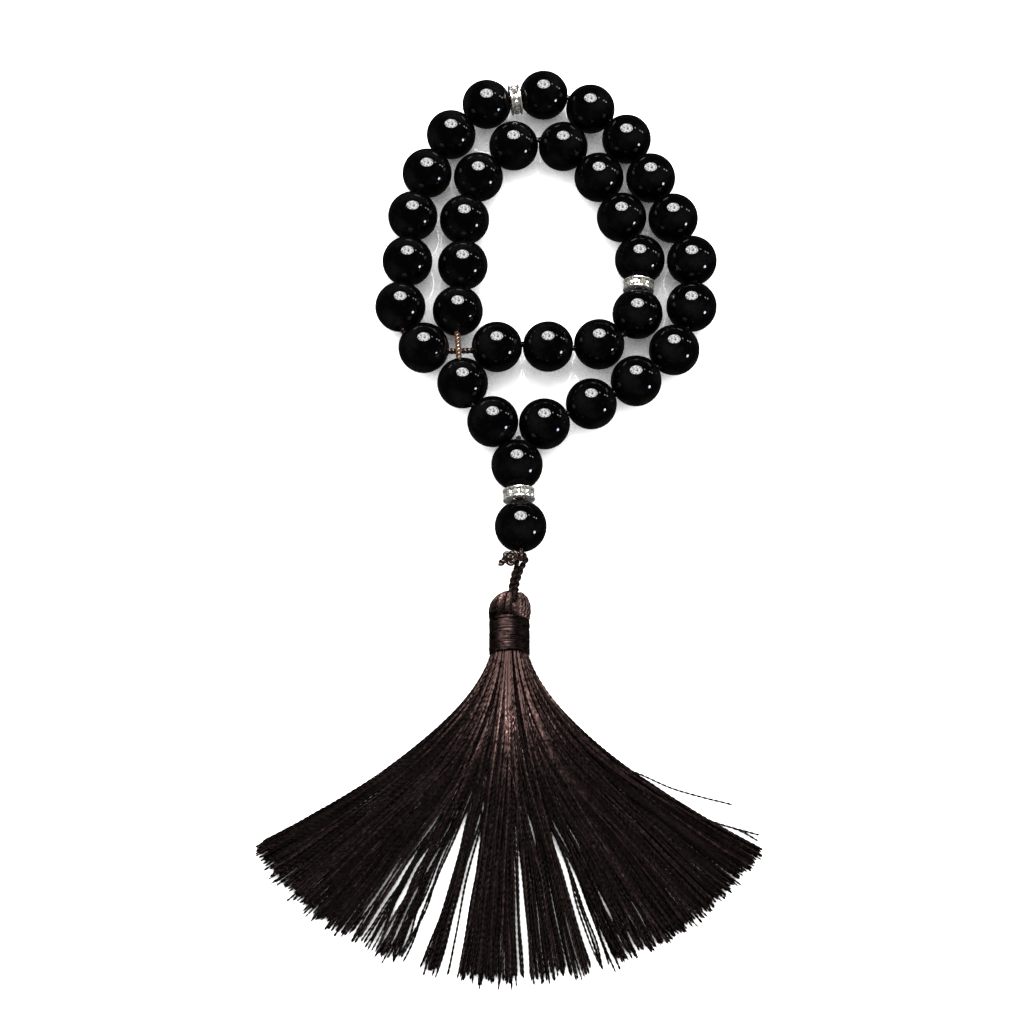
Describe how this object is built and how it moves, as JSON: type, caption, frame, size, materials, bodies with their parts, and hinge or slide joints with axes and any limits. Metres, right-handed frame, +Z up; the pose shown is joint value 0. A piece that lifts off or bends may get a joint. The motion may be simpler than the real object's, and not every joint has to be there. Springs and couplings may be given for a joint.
{
  "type": "misbaha prayer beads",
  "caption": "Misbaha: polished black beads and stone-set spacers threaded on a cord laid in a crossed double loop, with two head beads and a fanned thread tassel.",
  "frame": {"origin": "middle of the footprint, on the surface the beads lie on", "axes": "+Z up from the surface, -Y towards the tassel, +Y towards the far end of the loop, +X to the right"},
  "size_m": [0.1128, 0.223, 0.012],
  "materials": {
    "black_stone": "polished",
    "silver": "polished",
    "crystal": "polished",
    "brown_cord": "two-ply twisted brown cord",
    "dark_silk": "dark brown twisted silk thread"
  },
  "bodies": {
    "loop": {"loop_cord": "brown_cord"},
    "bead_01": {"bead_01": "black_stone"},
    "bead_02": {"bead_02": "black_stone"},
    "bead_03": {"bead_03": "black_stone"},
    "bead_04": {"bead_04": "black_stone"},
    "bead_05": {"bead_05": "black_stone"},
    "bead_06": {"bead_06": "black_stone"},
    "bead_07": {"bead_07": "black_stone"},
    "bead_08": {"bead_08": "black_stone"},
    "bead_09": {"bead_09": "black_stone"},
    "bead_10": {"bead_10": "black_stone"},
    "bead_11": {"bead_11": "black_stone"},
    "bead_12": {"bead_12": "black_stone"},
    "bead_13": {"bead_13": "black_stone"},
    "bead_14": {"bead_14": "black_stone"},
    "bead_15": {"bead_15": "black_stone"},
    "bead_16": {"bead_16": "black_stone"},
    "bead_17": {"bead_17": "black_stone"},
    "bead_18": {"bead_18": "black_stone"},
    "bead_19": {"bead_19": "black_stone"},
    "bead_20": {"bead_20": "black_stone"},
    "bead_21": {"bead_21": "black_stone"},
    "bead_22": {"bead_22": "black_stone"},
    "bead_23": {"bead_23": "black_stone"},
    "bead_24": {"bead_24": "black_stone"},
    "bead_25": {"bead_25": "black_stone"},
    "bead_26": {"bead_26": "black_stone"},
    "bead_27": {"bead_27": "black_stone"},
    "bead_28": {"bead_28": "black_stone"},
    "bead_29": {"bead_29": "black_stone"},
    "bead_30": {"bead_30": "black_stone"},
    "bead_31": {"bead_31": "black_stone"},
    "bead_32": {"bead_32": "black_stone"},
    "bead_33": {"bead_33": "black_stone"},
    "spacer_1": {"spacer_1_ring": "silver", "spacer_1_stones": "crystal"},
    "spacer_2": {"spacer_2_ring": "silver", "spacer_2_stones": "crystal"},
    "head": {"head_cord": "brown_cord", "cord_knot": "brown_cord"},
    "head_bead_upper": {"head_bead_upper": "black_stone"},
    "head_bead_lower": {"head_bead_lower": "black_stone"},
    "spacer_3": {"spacer_3_ring": "silver", "spacer_3_stones": "crystal"},
    "hanger": {"tassel_hanger": "dark_silk"},
    "tassel": {"tassel_dome": "dark_silk", "tassel_binding": "dark_silk", "skirt_bundle_1": "dark_silk", "skirt_bundle_2": "dark_silk", "skirt_bundle_3": "dark_silk", "skirt_bundle_4": "dark_silk", "skirt_bundle_5": "dark_silk", "skirt_bundle_6": "dark_silk", "skirt_bundle_7": "dark_silk"}
  },
  "joints": [
    {"name": "head_lift", "type": "hinge", "parent": "loop", "child": "head", "pos_m": [0.00304, 0.01822, 0.006], "axis": [-0.9989, 0.0464, 0], "range_deg": [0, 80]},
    {"name": "hanger_lift", "type": "hinge", "parent": "head", "child": "hanger", "pos_m": [0.00355, -0.01435, 0.00595], "axis": [-1, 0, 0], "range_deg": [0, 80]},
    {"name": "tassel_swing", "type": "hinge", "parent": "hanger", "child": "tassel", "pos_m": [0.0017, -0.0219, 0.0049], "axis": [0, 0, 1], "range_deg": [-30, 30]},
    {"name": "bead_01_spin", "type": "hinge", "parent": "loop", "child": "bead_01", "pos_m": [-0.003, 0.0185, 0.006], "axis": [-0.7005, 0.7137, 0], "continuous": true},
    {"name": "bead_02_spin", "type": "hinge", "parent": "loop", "child": "bead_02", "pos_m": [-0.01011, 0.02832, 0.006], "axis": [-0.2506, 0.968, 0.0094], "continuous": true},
    {"name": "bead_03_spin", "type": "hinge", "parent": "loop", "child": "bead_03", "pos_m": [-0.0114, 0.04697, 0.006], "axis": [0.0581, 0.9982, -0.0121], "continuous": true},
    {"name": "bead_04_spin", "type": "hinge", "parent": "loop", "child": "bead_04", "pos_m": [-0.0103, 0.05904, 0.006], "axis": [0.0516, 0.9986, 0.0109], "continuous": true},
    {"name": "bead_05_spin", "type": "hinge", "parent": "loop", "child": "bead_05", "pos_m": [-0.00998, 0.07116, 0.006], "axis": [0.058, 0.9983, -0.0051], "continuous": true},
    {"name": "bead_06_spin", "type": "hinge", "parent": "loop", "child": "bead_06", "pos_m": [-0.00667, 0.08282, 0.006], "axis": [0.4533, 0.8914, 0.0012], "continuous": true},
    {"name": "bead_07_spin", "type": "hinge", "parent": "loop", "child": "bead_07", "pos_m": [0.0019, 0.09138, 0.006], "axis": [0.9138, 0.4061, -0.0001], "continuous": true},
    {"name": "bead_08_spin", "type": "hinge", "parent": "loop", "child": "bead_08", "pos_m": [0.01402, 0.09121, 0.006], "axis": [0.9027, -0.4302, 0], "continuous": true},
    {"name": "bead_09_spin", "type": "hinge", "parent": "loop", "child": "bead_09", "pos_m": [0.02266, 0.08271, 0.006], "axis": [0.4766, -0.8791, 0], "continuous": true},
    {"name": "bead_10_spin", "type": "hinge", "parent": "loop", "child": "bead_10", "pos_m": [0.02799, 0.07182, 0.006], "axis": [0.4533, -0.8914, 0], "continuous": true},
    {"name": "bead_11_spin", "type": "hinge", "parent": "loop", "child": "bead_11", "pos_m": [0.03218, 0.06045, 0.006], "axis": [0.1056, -0.9944, 0], "continuous": true},
    {"name": "bead_12_spin", "type": "hinge", "parent": "loop", "child": "bead_12", "pos_m": [0.03134, 0.04619, 0.006], "axis": [-0.301, -0.9536, 0.0011], "continuous": true},
    {"name": "bead_13_spin", "type": "hinge", "parent": "loop", "child": "bead_13", "pos_m": [0.02215, 0.0383, 0.006], "axis": [-0.966, -0.2585, -0.0048], "continuous": true},
    {"name": "bead_14_spin", "type": "hinge", "parent": "loop", "child": "bead_14", "pos_m": [0.01004, 0.0377, 0.006], "axis": [-0.9918, 0.1275, 0.0119], "continuous": true},
    {"name": "bead_15_spin", "type": "hinge", "parent": "loop", "child": "bead_15", "pos_m": [-0.00208, 0.03761, 0.00601], "axis": [-0.9875, -0.157, -0.0142], "continuous": true},
    {"name": "bead_16_spin", "type": "hinge", "parent": "loop", "child": "bead_16", "pos_m": [-0.01937, 0.03738, 0.006], "axis": [-0.9488, 0.3156, 0.0142], "continuous": true},
    {"name": "bead_17_spin", "type": "hinge", "parent": "loop", "child": "bead_17", "pos_m": [-0.02509, 0.04807, 0.006], "axis": [0.0105, 0.9999, -0.011], "continuous": true},
    {"name": "bead_18_spin", "type": "hinge", "parent": "loop", "child": "bead_18", "pos_m": [-0.02359, 0.0601, 0.006], "axis": [0.1611, 0.9869, 0.0057], "continuous": true},
    {"name": "bead_19_spin", "type": "hinge", "parent": "loop", "child": "bead_19", "pos_m": [-0.02249, 0.07217, 0.006], "axis": [0.1024, 0.9947, -0.0016], "continuous": true},
    {"name": "bead_20_spin", "type": "hinge", "parent": "loop", "child": "bead_20", "pos_m": [-0.01919, 0.08383, 0.006], "axis": [0.4017, 0.9158, 0.0002], "continuous": true},
    {"name": "bead_21_spin", "type": "hinge", "parent": "loop", "child": "bead_21", "pos_m": [-0.01341, 0.09448, 0.006], "axis": [0.5216, 0.8532, 0], "continuous": true},
    {"name": "bead_22_spin", "type": "hinge", "parent": "loop", "child": "bead_22", "pos_m": [-0.00473, 0.10293, 0.006], "axis": [0.9284, 0.3715, 0], "continuous": true},
    {"name": "bead_23_spin", "type": "hinge", "parent": "loop", "child": "bead_23", "pos_m": [0.00932, 0.10551, 0.006], "axis": [0.9993, 0.0367, 0], "continuous": true},
    {"name": "bead_24_spin", "type": "hinge", "parent": "loop", "child": "bead_24", "pos_m": [0.0208, 0.10162, 0.006], "axis": [0.8283, -0.5603, 0], "continuous": true},
    {"name": "bead_25_spin", "type": "hinge", "parent": "loop", "child": "bead_25", "pos_m": [0.02953, 0.09322, 0.006], "axis": [0.5616, -0.8274, 0], "continuous": true},
    {"name": "bead_26_spin", "type": "hinge", "parent": "loop", "child": "bead_26", "pos_m": [0.03524, 0.08253, 0.006], "axis": [0.4005, -0.9163, 0], "continuous": true},
    {"name": "bead_27_spin", "type": "hinge", "parent": "loop", "child": "bead_27", "pos_m": [0.04044, 0.07158, 0.006], "axis": [0.46, -0.8879, 0], "continuous": true},
    {"name": "bead_28_spin", "type": "hinge", "parent": "loop", "child": "bead_28", "pos_m": [0.04465, 0.06021, 0.006], "axis": [0.1861, -0.9825, 0], "continuous": true},
    {"name": "bead_29_spin", "type": "hinge", "parent": "loop", "child": "bead_29", "pos_m": [0.04426, 0.0481, 0.006], "axis": [-0.1905, -0.9817, 0], "continuous": true},
    {"name": "bead_30_spin", "type": "hinge", "parent": "loop", "child": "bead_30", "pos_m": [0.03985, 0.03681, 0.006], "axis": [-0.5825, -0.8128, 0], "continuous": true},
    {"name": "bead_31_spin", "type": "hinge", "parent": "loop", "child": "bead_31", "pos_m": [0.0307, 0.02887, 0.006], "axis": [-0.8556, -0.5177, 0], "continuous": true},
    {"name": "bead_32_spin", "type": "hinge", "parent": "loop", "child": "bead_32", "pos_m": [0.02009, 0.023, 0.006], "axis": [-0.9095, -0.4157, 0], "continuous": true},
    {"name": "bead_33_spin", "type": "hinge", "parent": "loop", "child": "bead_33", "pos_m": [0.00908, 0.01794, 0.006], "axis": [-0.8917, -0.4526, 0], "continuous": true},
    {"name": "spacer_1_spin", "type": "hinge", "parent": "loop", "child": "spacer_1", "pos_m": [0.03176, 0.05332, 0.006], "axis": [-0.0583, -0.9983, 0], "continuous": true},
    {"name": "spacer_2_spin", "type": "hinge", "parent": "loop", "child": "spacer_2", "pos_m": [0.0023, 0.10419, 0.006], "axis": [0.9836, 0.1805, 0], "continuous": true},
    {"name": "head_bead_upper_spin", "type": "hinge", "parent": "head", "child": "head_bead_upper", "pos_m": [0.00265, 0.00765, 0.006], "axis": [0.056, -0.9984, 0], "continuous": true},
    {"name": "head_bead_lower_spin", "type": "hinge", "parent": "head", "child": "head_bead_lower", "pos_m": [0.0035, -0.0075, 0.006], "axis": [0.056, -0.9984, 0], "continuous": true},
    {"name": "spacer_3_spin", "type": "hinge", "parent": "head", "child": "spacer_3", "pos_m": [0.00308, 0.00007, 0.006], "axis": [0.056, -0.9984, 0], "continuous": true}
  ]
}
